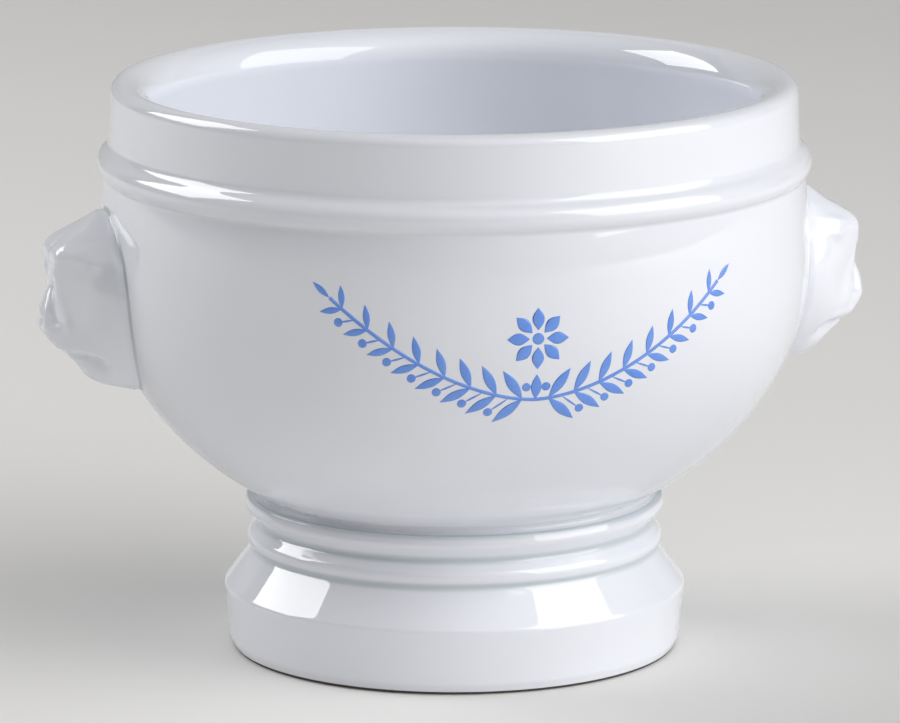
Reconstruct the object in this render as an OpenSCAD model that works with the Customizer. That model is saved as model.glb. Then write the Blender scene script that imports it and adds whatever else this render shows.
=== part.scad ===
// Footed soup bowl in glazed white porcelain: a deep round bowl with a beaded collar,
// a separate ringed foot, two lion heads as handles, and a printed garland on the front.
// The origin is the middle of the foot's resting face, +Z is up, the heads lie along X
// and the garland faces -Y. All lengths are in millimetres.

/* [Bowl] */
// Outer radius of the belly where it is widest
belly_r = 61; // [56:0.5:66]
// Height of the widest place above the bowl's seat on the foot
belly_rise = 40.6; // [36:0.2:44]
// Radius of the bowl's seat on the foot
seat_r = 33.4; // [31:0.1:36]
// How much the shoulder has drawn in where the bead sits on it
shoulder_in = 1.2; // [0.6:0.05:2]
// Thickness of the belly's wall at its widest place
wall_t = 6.2; // [4:0.1:7.5]
// Thickness of the floor over the seat
floor_t = 5.6; // [4:0.1:8]
// Exponent of the inside curve: 2 is an ellipse, more gives a flatter floor
inside_fullness = 2.7; // [2.2:0.1:3.2]
// Depth of the turned relief under the floor
relief_t = 0.8; // [0.3:0.1:2]
// How far the relief stays inside the hollow foot's neck
relief_back = 3.6; // [2:0.1:6]

/* [Collar] */
// Height of the bead's middle above the belly's widest place
bead_rise = 17.1; // [14:0.1:20]
// How far the bead stands out past the belly's widest radius
bead_proud = 0.2; // [0:0.1:2]
// Rounding radius of the bead
bead_round = 2.7; // [1.5:0.1:3]
// Angle over which the bead stays round above its middle, in degrees
bead_slope = 52; // [30:1:60]
// Height of the rim above the bead's middle
collar_rise = 13.8; // [12:0.1:20]
// How far the collar stands back from the belly's widest radius
collar_back = 1.9; // [1:0.1:3]
// How much the collar draws in from the bead to the rim
collar_draft = 0.3; // [0:0.05:1]
// Thickness of the collar's wall at the rim
rim_t = 6.9; // [5:0.1:8]
// Outer rounding radius of the rim
rim_round = 1.9; // [1.2:0.1:3]
// Rounding where the bead runs into the collar
collar_fillet = 2; // [0.5:0.1:2.2]

/* [Foot] */
// Height of the plain band at the foot's bottom
band_h = 11.2; // [9:0.1:13]
// Height of the flare above the band
flare_rise = 6.5; // [5:0.1:8]
// Height from the flare up to the lower ring's crest
lower_ring_rise = 1.9; // [1.7:0.1:3]
// Height from that crest up to the groove between the rings
groove_rise = 2.7; // [2:0.1:3]
// Height from the groove up to the upper ring's crest
upper_ring_rise = 2.7; // [2:0.1:3]
// Height from that crest up to the foot's top face
ledge_rise = 1.8; // [1.4:0.1:2.6]
// How far the groove lies outside the bowl's seat
groove_out = 0.5; // [0.1:0.1:1]
// How far the lower ring stands out past the groove
lower_ring_out = 2.4; // [2:0.1:3]
// How far the upper ring stands out past the groove
upper_ring_out = 2.4; // [2:0.1:3.4]
// How far the foot's top ledge stands back from the upper ring
ledge_back = 0.4; // [0.2:0.1:1]
// How far the flare's top stands out past the groove
flare_out = 1.1; // [0.8:0.1:1.8]
// How far the band stands out past the flare's top
band_out = 4.95; // [4:0.05:7]
// How much the band draws in down to its bevelled edge
band_draft = 1; // [0.3:0.1:1.5]
// Height of the bevelled edge
edge_h = 1.9; // [1.2:0.1:4]
// Width of the bevelled edge
edge_w = 0.85; // [0.5:0.05:3]
// Thickness of the foot's wall behind the groove
neck_t = 4.5; // [3.5:0.1:5]
// Thickness of the foot's wall at the band's top
band_t = 5.75; // [4.5:0.05:7]
// How much the hollow widens from the band's top to the table
hollow_draft = 0.3; // [0:0.1:1]

/* [Lion heads] */
// Height of a head's top above the belly's widest place
head_rise = 10.4; // [8:0.1:12]
// Depth of a head's lowest edge below the belly's widest place
head_drop = 20.2; // [18:0.1:24]
// Width of a head where it is widest
head_w = 26.8; // [22:0.1:32]
// How far the nose stands out past the belly's widest radius
head_reach = 11.5; // [8:0.1:16]
// Thickness of a head's thin outer edge
head_edge = 0.8; // [0.4:0.1:1.5]

/* [Joints] */
// Thickness of the slip between the foot and the bowl
foot_slip_t = 0.6; // [0.3:0.1:1]
// How far that slip is squeezed out past the bowl's seat
foot_slip_out = 0.5; // [0.2:0.1:1.5]
// How far that slip stays back from the hollow foot's neck
foot_slip_back = 0.5; // [0.2:0.1:1]
// Thickness of the slip behind each head
head_slip_t = 0.6; // [0.3:0.1:1]
// How far that slip is squeezed out past the head's edge
head_slip_out = 0.8; // [0.3:0.1:1.5]

/* [Garland] */
// Half of the garland's width, measured round the bowl
garland_half = 38.5; // [30:0.5:42]
// Height of the garland's middle below the belly's widest place
garland_drop = 4; // [0:0.5:8]
// Distance from the branches' lowest place down from the garland's middle
branch_low = 9; // [5:0.5:10]
// How much each branch rises from its lowest place to its tip
branch_rise = 17; // [8:0.5:20]
// Length of the largest leaf
leaf_l = 6.4; // [4:0.1:8]
// Width of the largest leaf
leaf_w = 1.8; // [1.4:0.1:2.4]
// Pairs of leaves along each branch
leaf_pairs = 8; // [5:1:9]
// Width of a branch's stem
stem_w = 0.6; // [0.4:0.1:1]
// Radius of a berry
berry_r = 0.75; // [0.5:0.05:1]
// Radius of the flower in the middle
flower_r = 5.2; // [3:0.1:6]
// Thickness of the fired print
print_t = 0.12; // [0.08:0.01:0.2]

/* [Hidden] */

$fn = 96;

glaze_white = "#f3f5f6";
slip_white = "#e6e9eb";
print_blue = "#5a8ce6";

// Steps of the curves in an outline
belly_steps = 24;
shoulder_steps = 6;
arc_steps = 8;
// Steps between two hand-chosen rows or points of a head
head_row_steps = 2;
head_side_steps = 2;

flare_h = band_h + flare_rise;
lower_ring_h = flare_h + lower_ring_rise;
groove_h = lower_ring_h + groove_rise;
upper_ring_h = groove_h + upper_ring_rise;
foot_h = upper_ring_h + ledge_rise;

groove_r = seat_r + groove_out;
lower_ring_r = groove_r + lower_ring_out;
upper_ring_r = groove_r + upper_ring_out;
ledge_r = upper_ring_r - ledge_back;
flare_r = groove_r + flare_out;
band_r = flare_r + band_out;
edge_r = band_r - band_draft;
foot_rim_r = edge_r - edge_w;
hollow_neck_r = groove_r - neck_t;
hollow_band_r = band_r - band_t;
hollow_rim_r = hollow_band_r + hollow_draft;
relief_r = hollow_neck_r - relief_back;

seat_z = foot_h + foot_slip_t;
belly_z = seat_z + belly_rise;
bead_z = belly_z + bead_rise;
rim_z = bead_z + collar_rise;
floor_z = seat_z + floor_t;
inner_r = belly_r - wall_t;
inner_drop = belly_z - floor_z;
collar_r = belly_r - collar_back;
rim_inner_r = collar_r - collar_draft - rim_t;
rim_inner_round = rim_t - rim_round;

// Vertical half axes of the ellipses that draw the belly down to its seat and the shoulder
belly_drop = belly_rise / sqrt(1 - pow(seat_r / belly_r, 2));
shoulder_rise = bead_rise / sqrt(1 - pow((belly_r - shoulder_in) / belly_r, 2));

head_h = head_rise + head_drop;
head_z = belly_z - head_drop;
garland_z = belly_z - garland_drop;

// Outer radius of the belly and the shoulder at height z
function wall_r(z) =
    let (half_axis = z < belly_z ? belly_drop : shoulder_rise, u = (z - belly_z) / half_axis)
    belly_r * sqrt(1 - u * u);

// Inner radius of the bowl below the widest place at height z
function inside_r(z) =
    let (u = min(1, (belly_z - z) / inner_drop))
    inner_r * pow(1 - pow(u, inside_fullness), 1 / inside_fullness);

// Inner radius above the widest place, drawn in to the rim by an ellipse
function inside_top_r(z) =
    let (u = (z - belly_z) / (rim_z - rim_inner_round - belly_z))
    inner_r - (inner_r - rim_inner_r) * u * u;

// Points on an arc, from angle a to angle b
function arc(centre, r, a, b) =
    [for (i = [0 : arc_steps])
        let (t = a + (b - a) * i / arc_steps) centre + r * [cos(t), sin(t)]];

// An outline given as corners [radius, height, rounding], each corner replaced by its arc
function rounded(corners) = [
    for (i = [0 : len(corners) - 1])
        let (
            q = corners[i],
            p = [q[0], q[1]],
            first = i == 0,
            last = i == len(corners) - 1,
            before = first ? q : corners[i - 1],
            after = last ? q : corners[i + 1]
        )
        each first || last || q[2] == 0
            ? [p]
            : corner_arc(p, [before[0], before[1]], [after[0], after[1]], q[2])
];

function corner_arc(p, before, after, r) =
    let (
        u = (before - p) / norm(before - p),
        v = (after - p) / norm(after - p),
        half = acos(u * v) / 2,
        centre = p + (u + v) / norm(u + v) * r / sin(half),
        from = p + u * r / tan(half) - centre,
        to = p + v * r / tan(half) - centre,
        a = atan2(from[1], from[0]),
        turn = atan2(to[1], to[0]) - a,
        swing = turn > 180 ? turn - 360 : turn < -180 ? turn + 360 : turn
    )
    arc(centre, r, a, a + swing);

// Smooth curve through a list of points or rows, with a number of steps between each two
function held(p, i) = p[max(0, min(len(p) - 1, i))];
function between(p, i, t) =
    let (a = held(p, i - 1), b = held(p, i), c = held(p, i + 1), d = held(p, i + 2))
    (2 * b + (c - a) * t + (2 * a - 5 * b + 4 * c - d) * t * t
        + (3 * b - a - 3 * c + d) * t * t * t) / 2;
function smoothed(p, steps) = concat(
    [for (i = [0 : len(p) - 2], s = [0 : steps - 1]) between(p, i, s / steps)],
    [p[len(p) - 1]]
);

// The belly's outline between two heights, grown outwards
function wall_outline(low, high, grow) =
    [for (i = [0 : belly_steps])
        let (z = low + (high - low) * i / belly_steps) [wall_r(z) + grow, z]];

// Bowl

bead_centre = [belly_r + bead_proud - bead_round, bead_z];
// The bead leaves the shoulder where the two outlines cross, found in a few steps
function crossing(t, steps) = steps == 0 ? t
    : crossing(
        -acos((wall_r(bead_z + bead_round * sin(t)) - bead_centre[0]) / bead_round), steps - 1);
bead_start = crossing(0, arc_steps);
bead_low_z = bead_z + bead_round * sin(bead_start);
bead_top = bead_centre + bead_round * [cos(bead_slope), sin(bead_slope)];
collar_low_z = bead_top[1] + (bead_top[0] - collar_r) / tan(bead_slope);

function bowl_outside() = concat(
    [[relief_r + relief_t, seat_z]],
    wall_outline(seat_z, belly_z, 0),
    [for (i = [1 : shoulder_steps])
        let (z = belly_z + (bead_low_z - belly_z) * i / shoulder_steps) [wall_r(z), z]],
    arc(bead_centre, bead_round, bead_start, bead_slope),
    rounded([
        [bead_top[0], bead_top[1], 0],
        [collar_r, collar_low_z, collar_fillet],
        [collar_r - collar_draft, rim_z - rim_round, 0],
    ])
);

function bowl_rim() = concat(
    arc([collar_r - collar_draft - rim_round, rim_z - rim_round], rim_round, 0, 90),
    arc([rim_inner_r + rim_inner_round, rim_z - rim_inner_round], rim_inner_round, 90, 180)
);

function bowl_inside() = concat(
    [for (i = [1 : shoulder_steps])
        let (
            top = rim_z - rim_inner_round,
            z = top - (top - belly_z) * i / shoulder_steps
        ) [inside_top_r(z), z]],
    [for (i = [1 : belly_steps])
        let (
            a = 90 * i / belly_steps,
            z = belly_z - inner_drop * sin(a)
        ) [i == belly_steps ? 0 : inside_r(z), z]]
);

// The same outline without points that fall on each other
same_point = print_t / 10;
function cleaned(p) =
    [for (i = [0 : len(p) - 1]) if (i == 0 || norm(p[i] - p[i - 1]) > same_point) p[i]];

module bowl() {
    color(glaze_white)
        rotate_extrude()
            polygon(cleaned(concat(
                [[0, seat_z + relief_t], [relief_r, seat_z + relief_t]],
                bowl_outside(), bowl_rim(), bowl_inside()
            )));
}

// Foot

foot_rim_round = 0.5;
edge_round = 2.5;
band_round = 1.3;
flare_fillet = 0.7;
lower_ring_round = 1.8;
groove_round = 0.9;
upper_ring_round = 1.1;
ledge_round = 0.5;
hollow_round = 2.5;

module foot() {
    color(glaze_white)
        rotate_extrude()
            polygon(rounded([
                [hollow_neck_r, foot_h, 0],
                [hollow_neck_r, flare_h, hollow_round],
                [hollow_band_r, band_h, hollow_round],
                [hollow_rim_r, 0, foot_rim_round],
                [foot_rim_r, 0, foot_rim_round],
                [edge_r, edge_h, edge_round],
                [band_r, band_h, band_round],
                [flare_r, flare_h, flare_fillet],
                [lower_ring_r, lower_ring_h, lower_ring_round],
                [groove_r, groove_h, groove_round],
                [upper_ring_r, upper_ring_h, upper_ring_round],
                [ledge_r, foot_h, ledge_round],
                [(ledge_r + hollow_neck_r) / 2, foot_h, 0],
            ]));
}

// The clay slip that joins the bowl to the foot
module foot_slip_joint() {
    color(slip_white)
        translate([0, 0, foot_h])
            difference() {
                cylinder(h = foot_slip_t, r = seat_r + foot_slip_out);
                translate([0, 0, -foot_slip_t])
                    cylinder(h = 3 * foot_slip_t, r = hollow_neck_r + foot_slip_back);
            }
}

// Lion heads

// Rows of a head from its chin up to its mane, as shares of head_h, head_reach and half of
// head_w: height, then reach and half width of the middle line, the nose's flank, the ridge
// from brow to cheek and the cheek, and last the half width of the edge on the wall
head_rows_shares = [
    [0.000, -0.33, -0.33, 0.08, -0.34, 0.14, -0.35, 0.19, 0.22],
    [0.023, -0.01, -0.03, 0.13, -0.10, 0.22, -0.20, 0.29, 0.32],
    [0.052, 0.18, 0.17, 0.17, 0.09, 0.30, -0.06, 0.40, 0.44],
    [0.095, 0.32, 0.31, 0.21, 0.22, 0.36, 0.02, 0.50, 0.56],
    [0.163, 0.47, 0.46, 0.25, 0.36, 0.42, 0.10, 0.61, 0.70],
    [0.235, 0.69, 0.67, 0.28, 0.52, 0.45, 0.17, 0.70, 0.81],
    [0.306, 0.86, 0.83, 0.29, 0.63, 0.47, 0.22, 0.76, 0.89],
    [0.376, 0.99, 0.93, 0.29, 0.67, 0.46, 0.25, 0.80, 0.94],
    [0.448, 1.00, 0.92, 0.25, 0.67, 0.44, 0.27, 0.82, 0.98],
    [0.516, 0.93, 0.87, 0.22, 0.69, 0.42, 0.28, 0.83, 1.00],
    [0.598, 0.84, 0.81, 0.21, 0.73, 0.42, 0.30, 0.82, 1.00],
    [0.688, 0.82, 0.80, 0.23, 0.78, 0.44, 0.32, 0.78, 0.95],
    [0.768, 0.84, 0.84, 0.26, 0.81, 0.47, 0.33, 0.70, 0.83],
    [0.830, 0.77, 0.77, 0.26, 0.73, 0.46, 0.30, 0.59, 0.68],
    [0.879, 0.60, 0.59, 0.23, 0.54, 0.39, 0.25, 0.48, 0.55],
    [0.928, 0.38, 0.37, 0.17, 0.33, 0.28, 0.20, 0.33, 0.38],
    [1.000, 0.12, 0.12, 0.05, 0.11, 0.08, 0.10, 0.10, 0.12],
];

head_half_w = head_w / 2;
head_back_r = wall_r(head_z) - head_half_w;

// One level section of a head, from the wall on one side round to the wall on the other
function head_section(row) =
    let (
        z = head_z + row[0] * head_h,
        half_w = row[8] * head_half_w,
        wall_x = sqrt(pow(wall_r(z) + head_slip_t + head_edge, 2) - half_w * half_w),
        side = [
            [wall_x, half_w],
            [belly_r + row[6] * head_reach, row[7] * head_half_w],
            [belly_r + row[4] * head_reach, row[5] * head_half_w],
            [belly_r + row[2] * head_reach, row[3] * head_half_w],
        ],
        middle = [[belly_r + row[1] * head_reach, 0]],
        other = [for (i = [len(side) - 1 : -1 : 0]) [side[i][0], -side[i][1]]],
        face = smoothed(concat(side, middle, other), head_side_steps)
    )
    [for (p = concat([[head_back_r, half_w]], face, [[head_back_r, -half_w]])) [p[0], p[1], z]];

// Solid skinned over rows of points that all have the same number of points
module skin(rows) {
    n = len(rows[0]);
    last = len(rows) - 1;
    polyhedron(
        points = [for (row = rows) each row],
        faces = concat(
            [for (j = [1 : n - 2]) [0, j + 1, j]],
            [for (j = [1 : n - 2]) [last * n, last * n + j, last * n + j + 1]],
            [for (i = [0 : last - 1], j = [0 : n - 1])
                each let (k = (j + 1) % n, a = i * n + j, b = i * n + k)
                    [[a, b, b + n], [a, b + n, a + n]]]
        ),
        convexity = 6
    );
}

// Everything inside the belly's outer face, grown by grow, over the heads' height
module wall_core(grow) {
    over = head_slip_out + head_slip_t;
    low = head_z - over;
    high = head_z + head_h + over;
    rotate_extrude()
        polygon(concat([[0, low]], wall_outline(low, high, grow), [[0, high]]));
}

module lion_head() {
    color(glaze_white)
        difference() {
            skin([for (row = smoothed(head_rows_shares, head_row_steps)) head_section(row)]);
            wall_core(head_slip_t);
        }
}

// The slip behind a head: a plate bent to the wall, a little larger than the head's edge
module head_slip() {
    rows = smoothed(head_rows_shares, head_row_steps);
    last = len(rows) - 1;
    edge = concat(
        [[rows[0][8] * head_half_w, -head_slip_out]],
        [for (row = rows) [row[8] * head_half_w + head_slip_out, row[0] * head_h]],
        [[rows[last][8] * head_half_w, head_h + head_slip_out / 2]]
    );
    outline = concat(edge, [for (i = [len(edge) - 1 : -1 : 0]) [-edge[i][0], edge[i][1]]]);
    color(slip_white)
        intersection() {
            difference() {
                wall_core(head_slip_t);
                wall_core(0);
            }
            translate([head_back_r, 0, head_z])
                rotate([90, 0, 90])
                    linear_extrude(belly_r)
                        polygon(outline);
        }
}

module lion_head_right() { lion_head(); }
module lion_head_left() { rotate([0, 0, 180]) lion_head(); }
module head_slip_joint_right() { head_slip(); }
module head_slip_joint_left() { rotate([0, 0, 180]) head_slip(); }

// Garland

leaf_steps = 6;
stem_steps = 20;
berry_steps = 12;
petals = 8;
// Lean of a leaf away from its stem, in degrees
leaf_lean = 48;
// Power of a branch's rise along its length
branch_power = 1.7;
// Share of the full size that the last leaf still has
last_leaf_share = 0.6;
// Length and width of a berry's stalk as shares of a leaf's length and a stem's width
stalk_share = 0.7;
stalk_width_share = 0.6;
// Places and sizes in the flower as shares of its radius
petal_start_share = 0.27;
petal_width_share = 0.4;
flower_eye_share = 0.19;
flower_rise_share = 0.3;

// A place on the garland: u runs round the bowl and v up it, both from the garland's middle
function wrapped(p) = [belly_r * sin(p[0] / belly_r * 180 / PI), p[1]];
function branch_at(t) = [
    (garland_half - leaf_l * last_leaf_share) * t,
    -branch_low + branch_rise * pow(t, branch_power)
];

// Direction of a branch at a place, in degrees from level
function branch_lean(t) =
    let (d = branch_at(t + 1 / stem_steps) - branch_at(t)) atan2(d[1], d[0]);

// A point turned about the origin by angle a
function turned(p, a) = [p[0] * cos(a) - p[1] * sin(a), p[0] * sin(a) + p[1] * cos(a)];

// Outline of a pointed leaf that starts at a place and leans at angle a
function leaf_points(at, a, l, w) = concat(
    [for (i = [0 : leaf_steps])
        let (t = i / leaf_steps) at + turned([l * t, w / 2 * sin(180 * t)], a)],
    [for (i = [leaf_steps - 1 : -1 : 1])
        let (t = i / leaf_steps) at + turned([l * t, -w / 2 * sin(180 * t)], a)]
);

module on_wall(points) { polygon([for (p = points) wrapped(p)]); }

module berry(at, r) {
    on_wall([for (i = [1 : berry_steps]) at + turned([r, 0], 360 * i / berry_steps)]);
}

module stem() {
    on_wall(concat(
        [for (i = [0 : stem_steps])
            let (t = i / stem_steps) branch_at(t) + turned([0, stem_w / 2], branch_lean(t))],
        [for (i = [stem_steps : -1 : 0])
            let (t = i / stem_steps) branch_at(t) - turned([0, stem_w / 2], branch_lean(t))]
    ));
}

module branch() {
    stem();
    for (i = [0 : leaf_pairs - 1], side = [-1, 1]) {
        t = (i + 0.5) / leaf_pairs;
        size = 1 - (1 - last_leaf_share) * t;
        on_wall(leaf_points(
            branch_at(t), branch_lean(t) + side * leaf_lean, leaf_l * size, leaf_w * size
        ));
    }
    on_wall(leaf_points(
        branch_at(1), branch_lean(1), leaf_l * last_leaf_share, leaf_w * last_leaf_share
    ));
    for (i = [1 : leaf_pairs - 1]) {
        t = i / leaf_pairs;
        lean = branch_lean(t) - leaf_lean;
        stalk = leaf_l * stalk_share * (1 - (1 - last_leaf_share) * t);
        on_wall(leaf_points(branch_at(t), lean, stalk, stem_w * stalk_width_share));
        berry(branch_at(t) + turned([stalk, 0], lean), berry_r);
    }
}

module flower() {
    middle = [0, flower_r * flower_rise_share];
    for (i = [0 : petals - 1])
        on_wall(leaf_points(
            middle + turned([flower_r * petal_start_share, 0], 90 + 360 / petals * i),
            90 + 360 / petals * i,
            flower_r * (1 - petal_start_share),
            flower_r * petal_width_share
        ));
    berry(middle, flower_r * flower_eye_share);
    // The leaf and the two berries that rise where the branches meet below the flower
    on_wall(leaf_points([0, -branch_low], 90, leaf_l * stalk_share, leaf_w));
    for (side = [-1, 1])
        berry([side * (leaf_w / 2 + berry_r), -branch_low + 3 * berry_r], berry_r);
}

module garland_print() {
    low = garland_z - branch_low - leaf_l;
    high = garland_z + branch_rise + leaf_l;
    color(print_blue)
        intersection() {
            difference() {
                rotate_extrude()
                    polygon(concat([[0, low]], wall_outline(low, high, print_t), [[0, high]]));
                rotate_extrude()
                    polygon(concat([[0, low]], wall_outline(low, high, 0), [[0, high]]));
            }
            translate([0, 0, garland_z])
                rotate([90, 0, 0])
                    linear_extrude(belly_r + head_reach)
                        union() {
                            branch();
                            mirror([1, 0]) branch();
                            flower();
                        }
        }
}

bowl();
foot();
foot_slip_joint();
lion_head_left();
lion_head_right();
head_slip_joint_left();
head_slip_joint_right();
garland_print();
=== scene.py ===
"""Looks of a footed soup bowl in glazed white porcelain, laid out as an add-on."""

import math

import bmesh
import bpy
import numpy as np
from bpy.props import FloatProperty, FloatVectorProperty, IntProperty, PointerProperty
from mathutils import Matrix, Vector


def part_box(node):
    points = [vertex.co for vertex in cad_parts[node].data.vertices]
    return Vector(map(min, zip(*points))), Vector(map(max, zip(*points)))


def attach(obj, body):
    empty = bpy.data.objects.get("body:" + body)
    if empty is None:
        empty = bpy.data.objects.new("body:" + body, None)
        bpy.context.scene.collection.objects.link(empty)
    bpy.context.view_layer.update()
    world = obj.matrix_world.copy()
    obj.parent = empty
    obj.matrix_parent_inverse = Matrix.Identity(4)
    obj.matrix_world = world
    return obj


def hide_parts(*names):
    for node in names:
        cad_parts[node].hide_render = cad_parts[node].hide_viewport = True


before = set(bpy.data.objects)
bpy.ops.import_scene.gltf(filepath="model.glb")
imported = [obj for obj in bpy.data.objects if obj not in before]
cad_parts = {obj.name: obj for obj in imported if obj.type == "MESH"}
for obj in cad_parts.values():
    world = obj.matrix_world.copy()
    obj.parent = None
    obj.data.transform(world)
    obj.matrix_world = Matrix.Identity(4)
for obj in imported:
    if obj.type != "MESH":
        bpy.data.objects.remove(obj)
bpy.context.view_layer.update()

bl_info = {
    "name": "Footed Soup Bowl",
    "version": (1, 0, 0),
    "blender": (4, 5, 0),
    "location": "3D View > Sidebar > Soup Bowl",
    "description": "Builds a glazed porcelain soup bowl with lion heads around its packed frame",
    "category": "Add Mesh",
}

MM = 0.001

# What the frame says of the pieces that everything else is set out from
SEAT_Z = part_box("bowl")[0].z
RIM_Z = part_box("bowl")[1].z
BEAD_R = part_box("bowl")[1].y
FOOT_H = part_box("foot")[1].z
BAND_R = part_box("foot")[1].y
HEAD_LOW, HEAD_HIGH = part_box("lion_head_right")


# Sizes and colours

def length(name, about, mm):
    """A length that a user may change, given in millimetres."""
    return FloatProperty(name=name, description=about, default=mm * MM, unit="LENGTH", precision=5)


def colour(name, about, code):
    """A colour that a user may change, given as an sRGB hex code."""
    return FloatVectorProperty(
        name=name, description=about, default=linear(code)[:3], subtype="COLOR", size=3
    )


def linear(code):
    """Linear RGBA of an sRGB hex code."""
    parts = [int(code[i:i + 2], 16) / 255 for i in (1, 3, 5)]
    return [p / 12.92 if p <= 0.04045 else ((p + 0.055) / 1.055) ** 2.4 for p in parts] + [1.0]


class BowlSizes(bpy.types.PropertyGroup):
    """Sizes of the bowl, its collar and its rim."""

    bead_proud: length("Bead proud", "How far the bead stands out past the belly", 0.2)
    belly_rise: length("Belly rise", "Height of the widest place above the seat", 40.6)
    seat_r: length("Seat radius", "Radius of the bowl's seat on the foot", 33.4)
    shoulder_in: length("Shoulder in", "How much the shoulder draws in under the bead", 1.2)
    wall: length("Wall", "Thickness of the belly's wall", 6.2)
    floor: length("Floor", "Thickness of the floor over the seat", 5.6)
    inside_fullness: FloatProperty(
        name="Inside fullness", description="Exponent of the inside curve", default=2.7
    )
    relief: length("Relief depth", "Depth of the turned relief under the floor", 0.8)
    relief_r: length("Relief radius", "Radius of the turned relief under the floor", 25.8)
    bead_rise: length("Bead rise", "Height of the bead above the belly's widest place", 17.1)
    bead_round: length("Bead rounding", "Rounding radius of the bead", 2.7)
    bead_slope: FloatProperty(
        name="Bead slope", description="Angle over which the bead stays round above its middle",
        default=math.radians(52), subtype="ANGLE",
    )
    collar_back: length("Collar back", "How far the collar stands back from the belly", 1.9)
    collar_draft: length("Collar draft", "How much the collar draws in to the rim", 0.3)
    collar_fillet: length("Collar fillet", "Rounding where bead and collar meet", 2)
    rim: length("Rim", "Thickness of the collar's wall at the rim", 6.9)
    rim_round: length("Rim rounding", "Outer rounding radius of the rim", 1.9)
    steps_round: IntProperty(
        name="Steps round", description="Steps of a turned piece round its axis", default=192
    )
    longest_step: length("Longest step", "Longest step along a turned outline", 0.9)


class FootSizes(bpy.types.PropertyGroup):
    """Sizes of the hollow foot and the slip that joins it to the bowl."""

    band_h: length("Band height", "Height of the plain band", 11.2)
    flare_rise: length("Flare rise", "Height of the flare above the band", 6.5)
    lower_ring_rise: length("Lower ring rise", "Height from the flare to the ring's crest", 1.9)
    groove_rise: length("Groove rise", "Height from that crest up to the groove", 2.7)
    upper_ring_rise: length("Upper ring rise", "Height from the groove to the upper crest", 2.7)
    groove_out: length("Groove out", "How far the groove lies outside the bowl's seat", 0.5)
    lower_ring_out: length("Lower ring out", "How far the lower ring stands out", 2.4)
    upper_ring_out: length("Upper ring out", "How far the upper ring stands out", 2.4)
    ledge_back: length("Ledge back", "How far the top ledge stands back from the ring", 0.4)
    flare_out: length("Flare out", "How far the flare's top stands out past the groove", 1.1)
    band_draft: length("Band draft", "How much the band draws in to its bevel", 1)
    edge_h: length("Bevel height", "Height of the bevelled edge", 1.9)
    edge_w: length("Bevel width", "Width of the bevelled edge", 0.85)
    neck: length("Neck wall", "Thickness of the foot's wall behind the groove", 4.5)
    band: length("Band wall", "Thickness of the foot's wall at the band's top", 5.75)
    hollow_draft: length("Hollow draft", "How much the hollow widens to the table", 0.3)
    slip_rise: length("Slip rise", "How far the slip climbs up the belly", 2.6)
    slip_round: length("Slip rounding", "Radius of the slip's hollow rounding", 0.7)
    bare_h: length("Bare height", "Height up to which the resting rim has no glaze", 0.55)


class HeadSizes(bpy.types.PropertyGroup):
    """Sizes of the lion heads and the slip round them."""

    reach: length("Reach", "How far the nose stands out past the belly", 11.5)
    edge: length("Edge", "Thickness of a head's thin outer edge", 0.8)
    slip: length("Slip", "Thickness of the slip behind a head", 0.6)
    slip_round: length("Slip rounding", "Radius of the slip's hollow rounding", 1.05)
    voxel: length("Grain of the cast", "Size of the mesh grain in a head", 0.33)


class GarlandSizes(bpy.types.PropertyGroup):
    """Sizes of the printed garland."""

    half: length("Half width", "Half of the garland's width round the bowl", 38.5)
    drop: length("Drop", "Height of the garland's middle below the widest place", 4)
    low: length("Low", "Depth of the branches' lowest place", 9)
    rise: length("Rise", "How much each branch rises to its tip", 17)
    leaf_l: length("Leaf length", "Length of the largest leaf", 6.4)
    leaf_w: length("Leaf width", "Width of the largest leaf", 1.8)
    leaf_pairs: IntProperty(
        name="Leaf pairs", description="Pairs of leaves along each branch", default=8
    )
    stem_w: length("Stem width", "Width of a branch's stem", 0.6)
    berry_r: length("Berry radius", "Radius of a berry", 0.75)
    flower_r: length("Flower radius", "Radius of the flower", 5.2)
    film: length("Film", "How far the fired colour stands on the glaze", 0.05)


class Colours(bpy.types.PropertyGroup):
    """Colours of the ware, its print and the table."""

    glaze: colour("Glaze", "Clear glaze over white porcelain", "#f5f7fe")
    pooled: colour("Pooled glaze", "Thicker glaze in the grooves", "#d0d9dd")
    # Partly thick glaze, partly painted shade of the hollow seams round the heads and the foot
    slip: colour("Slip", "Casting slip under thick glaze", "#d4dadd")
    biscuit: colour("Biscuit", "Bare fired body on the resting rim", "#d9d5cd")
    speck: colour("Speck", "Small iron specks under the glaze", "#b9b2a6")
    blue: colour("Print", "Fired blue print", "#6296f2")
    blue_thin: colour("Thin print", "The print where its colour is thin", "#80a9f5")
    # Painted shade: the dark contact shadow under the foot, put into the bare rim's colour
    contact_shade: colour("Contact shade", "Painted contact shadow where glaze and bare rim meet", "#47443c")
    table: colour("Table", "Pale paper that the bowl stands on", "#edecea")
    # Painted shade: the paper turns to this colour where it runs back from the light
    table_shaded: colour("Shaded table", "The same paper where it runs back from the light", "#e3e2e0")


class StageSizes(bpy.types.PropertyGroup):
    """Place of the camera and strength of the lamps."""

    distance: length("Camera distance", "Level distance from the bowl's axis", 1145.6)
    height: length("Camera height", "Height above the table", 287.4)
    side: length("Camera side", "How far the camera stands to its own right", -0.75)
    turn: FloatProperty(
        name="Camera turn", description="Turn round the bowl from its front",
        default=math.radians(-13), subtype="ANGLE",
    )
    pitch: FloatProperty(
        name="Camera pitch", description="How far the camera looks down",
        default=0.2048, subtype="ANGLE",
    )
    lens: FloatProperty(name="Lens", description="Focal length in mm", default=271.504)
    key: FloatProperty(name="Key", description="Power of the right lamp in W", default=10.4)
    fill: FloatProperty(name="Fill", description="Power of the left lamp in W", default=8.5)
    room: FloatProperty(name="Room", description="Brightness of the room's light", default=1.0)


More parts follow.
